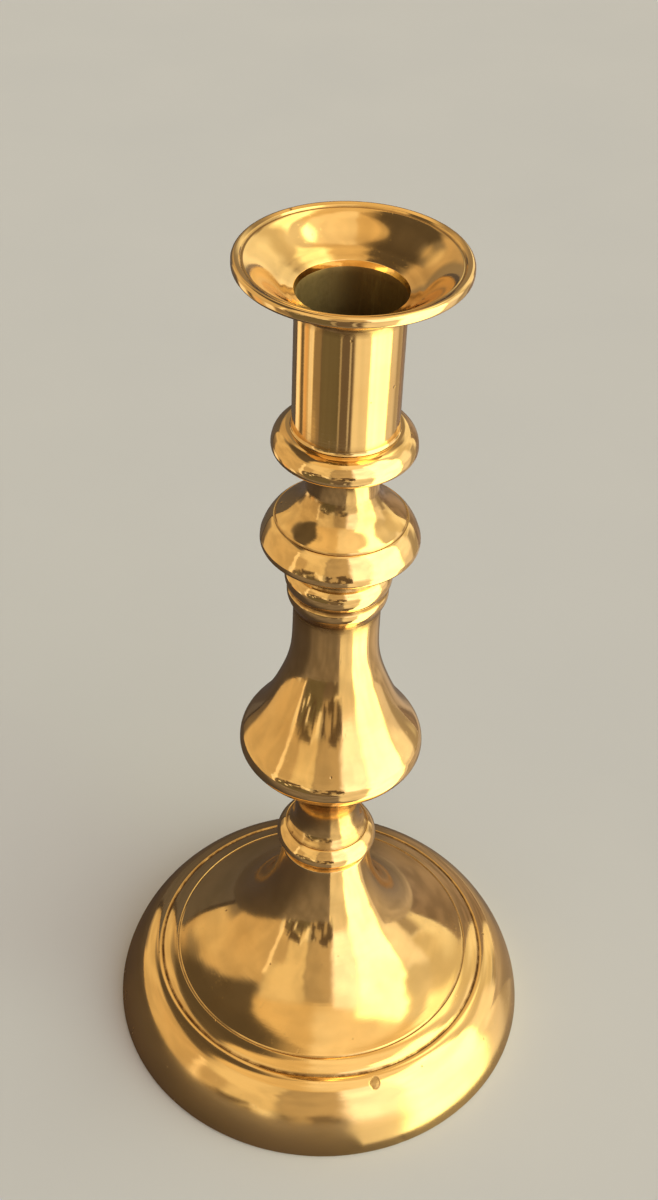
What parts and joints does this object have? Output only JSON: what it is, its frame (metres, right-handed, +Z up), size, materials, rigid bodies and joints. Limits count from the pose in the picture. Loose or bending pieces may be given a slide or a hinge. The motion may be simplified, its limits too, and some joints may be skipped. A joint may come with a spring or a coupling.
{
  "type": "candlestick",
  "caption": "Turned brass candlestick with a round hollow foot, a baluster stem, a tube socket with a flared drip pan, and a push-up candle ejector.",
  "frame": {"origin": "centre of the circle that the foot stands on, at table level", "axes": "+Z up along the stem's axis, towards the drip pan; the object is round about Z, so +X and +Y are free"},
  "size_m": [0.1032, 0.1032, 0.2136],
  "materials": {
    "foot_brass": "old polished brass, softer and slightly satin on the outer shoulder",
    "stem_brass": "old brass, hand polished, darker in the hollows",
    "socket_brass": "old brass, polished outside, unpolished and brown inside the bore",
    "fixing_brass": "unpolished brass, tarnished brown",
    "ejector_brass": "unpolished brass, tarnished brown",
    "rod_iron": "drawn iron rod, dark with a little rust"
  },
  "bodies": {
    "candlestick": {"base_foot": "foot_brass", "stem_baluster": "stem_brass", "candle_socket": "socket_brass", "tenon_washer": "fixing_brass", "tenon_nut": "fixing_brass"},
    "ejector": {"ejector_plate": "ejector_brass", "ejector_rod": "rod_iron", "ejector_button": "ejector_brass"}
  },
  "joints": [
    {"name": "ejector_lift", "type": "slide", "parent": "candlestick", "child": "ejector", "axis": [0, 0, 1], "range_m": [0, 0.019]}
  ]
}
